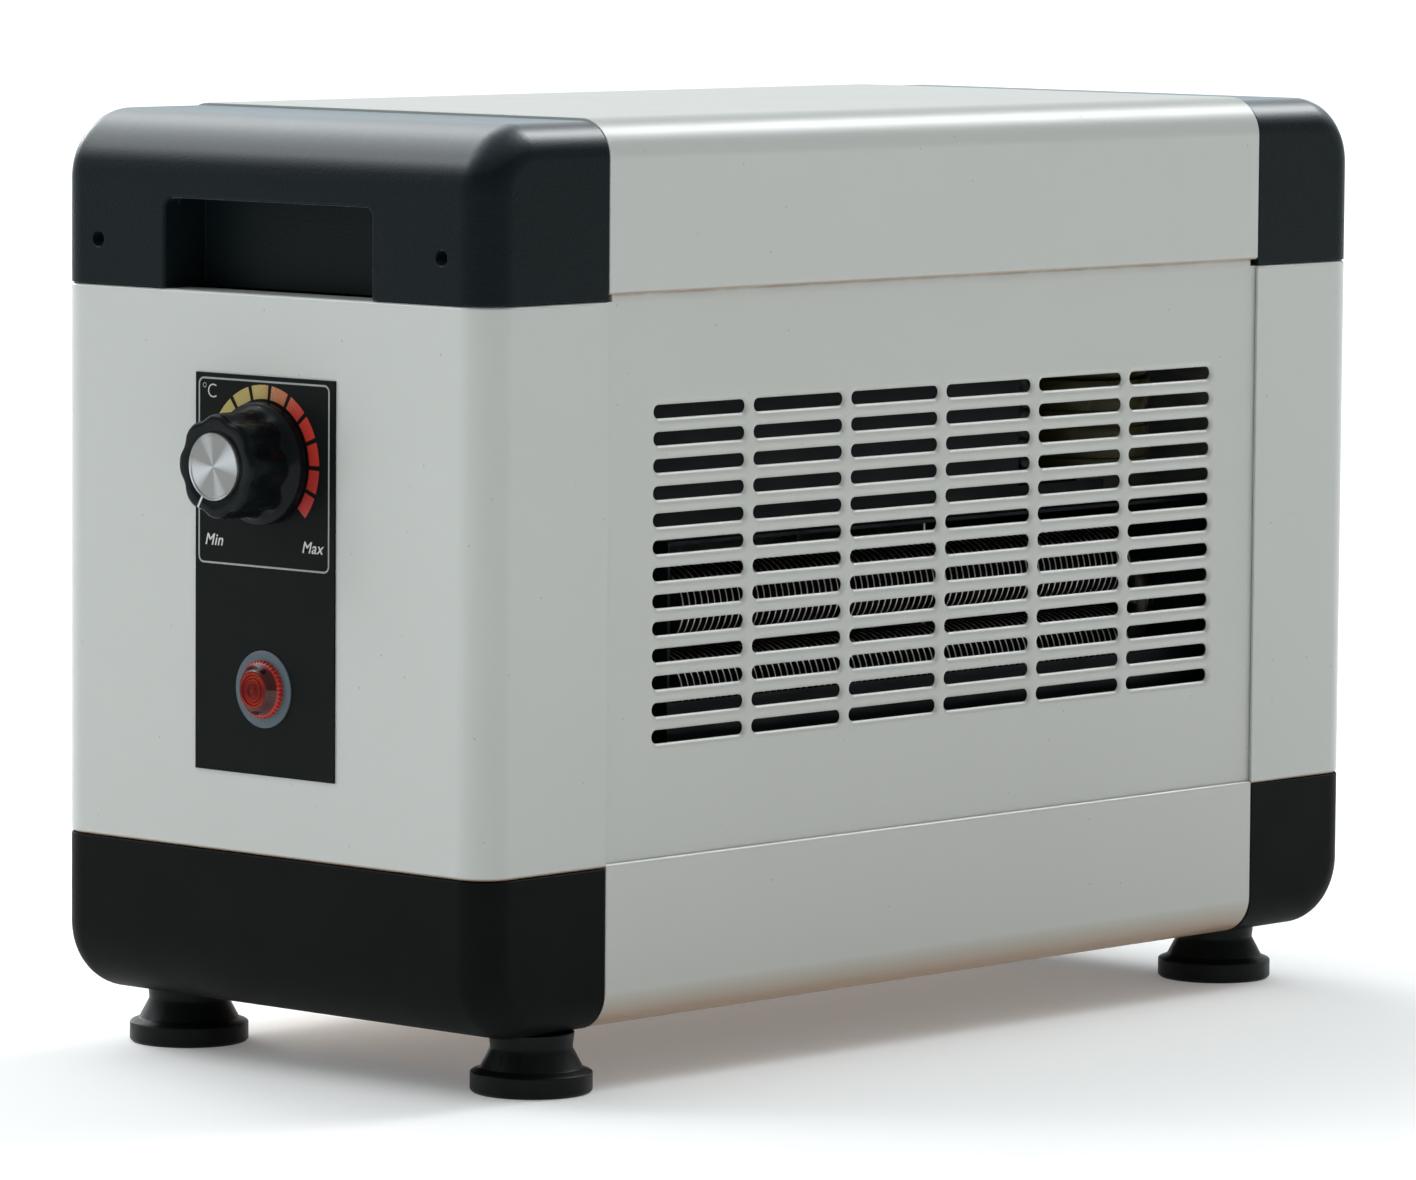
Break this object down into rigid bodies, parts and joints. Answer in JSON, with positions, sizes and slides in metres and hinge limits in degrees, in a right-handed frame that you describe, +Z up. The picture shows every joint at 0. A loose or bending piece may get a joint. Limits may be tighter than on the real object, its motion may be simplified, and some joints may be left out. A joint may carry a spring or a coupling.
{
  "type": "fan heater",
  "caption": "Long box-shaped electric fan heater on four levelling feet, with black end caps, slotted air grilles and a dial and pilot lamp on one end.",
  "frame": {"origin": "on the floor under the middle of the heater", "axes": "+Z up, -Y out of the control end, +X out of the warm air side"},
  "size_m": [0.18, 0.45, 0.2855],
  "materials": {
    "white_paint": "semi-gloss off-white powder paint",
    "black_abs": "black moulded plastic with a fine leather grain",
    "zinc_steel": "bright zinc-plated sheet and fasteners",
    "printed_plate": "black printed plate, silver frame and coloured arc",
    "grey_trim": "flat grey ring",
    "red_lens": "red moulded lens with a knurled edge",
    "pale_nylon": "natural nylon",
    "ceramic_body": "unglazed steatite",
    "bright_metal": "turned bright steel",
    "copper_tube": "drawn copper tube",
    "wire_sheath": "silicone insulation",
    "black_rubber": "black rubber",
    "black_nylon": "black nylon",
    "core_steel": "varnished lamination steel",
    "yellow_tape": "yellow polyester winding tape",
    "cast_aluminium": "bare aluminium",
    "element_steel": "heat-tinted steel tube and fins",
    "dark_phenolic": "dark phenolic moulding",
    "knob_plastic": "polished black thermoset",
    "spun_disc": "spun aluminium with radial glints",
    "foot_plastic": "black moulded nylon"
  },
  "bodies": {
    "housing": {"top_cover": "white_paint", "bottom_cover": "white_paint", "outlet_grille": "white_paint", "intake_grille": "white_paint", "front_end_panel": "white_paint", "rear_end_panel": "white_paint", "front_top_cap": "black_abs", "rear_top_cap": "black_abs", "front_bottom_cap": "black_abs", "rear_bottom_cap": "black_abs", "front_bulkhead": "zinc_steel", "rear_bulkhead": "zinc_steel", "base_plate": "zinc_steel", "base_spacers": "zinc_steel", "base_screws": "zinc_steel", "cap_screws": "zinc_steel", "control_plate": "printed_plate", "pilot_ring": "grey_trim", "pilot_lens": "red_lens", "pilot_body": "pale_nylon", "thermostat": "ceramic_body", "thermostat_nut": "bright_metal", "capillary": "copper_tube", "bulb_clip": "zinc_steel", "terminal_block": "pale_nylon", "wiring": "wire_sheath", "grommets": "black_rubber", "cable_gland": "black_nylon", "gland_nut": "black_nylon", "air_duct": "zinc_steel", "blower_scroll": "zinc_steel", "blower_front_plate": "zinc_steel", "blower_rear_plate": "zinc_steel", "front_bearing": "black_rubber", "motor_stator": "core_steel", "motor_coil": "yellow_tape", "motor_brackets": "cast_aluminium", "motor_screws": "zinc_steel", "heating_element": "element_steel", "element_seals": "ceramic_body", "thermal_cutout": "dark_phenolic", "foot_nuts": "zinc_steel"},
    "control_knob": {"knob": "knob_plastic", "knob_disc": "spun_disc", "spindle": "bright_metal"},
    "blower_rotor": {"impeller": "cast_aluminium", "shaft": "bright_metal", "motor_rotor": "core_steel"},
    "levelling_foot_front_left": {"foot_front_left": "foot_plastic", "stud_front_left": "zinc_steel"},
    "levelling_foot_front_right": {"foot_front_right": "foot_plastic", "stud_front_right": "zinc_steel"},
    "levelling_foot_rear_left": {"foot_rear_left": "foot_plastic", "stud_rear_left": "zinc_steel"},
    "levelling_foot_rear_right": {"foot_rear_right": "foot_plastic", "stud_rear_right": "zinc_steel"}
  },
  "joints": [
    {"name": "knob_turn", "type": "hinge", "parent": "housing", "child": "control_knob", "pos_m": [0, -0.2036, 0.1829], "axis": [0, 1, 0], "range_deg": [0, 270]},
    {"name": "blower_spin", "type": "hinge", "parent": "housing", "child": "blower_rotor", "pos_m": [-0.008, 0, 0.1843], "axis": [0, 1, 0], "continuous": true},
    {"name": "foot_height_front_left", "type": "slide", "parent": "housing", "child": "levelling_foot_front_left", "axis": [0, 0, -1], "range_m": [0, 0.008]},
    {"name": "foot_height_front_right", "type": "slide", "parent": "housing", "child": "levelling_foot_front_right", "axis": [0, 0, -1], "range_m": [0, 0.008]},
    {"name": "foot_height_rear_left", "type": "slide", "parent": "housing", "child": "levelling_foot_rear_left", "axis": [0, 0, -1], "range_m": [0, 0.008]},
    {"name": "foot_height_rear_right", "type": "slide", "parent": "housing", "child": "levelling_foot_rear_right", "axis": [0, 0, -1], "range_m": [0, 0.008]}
  ]
}
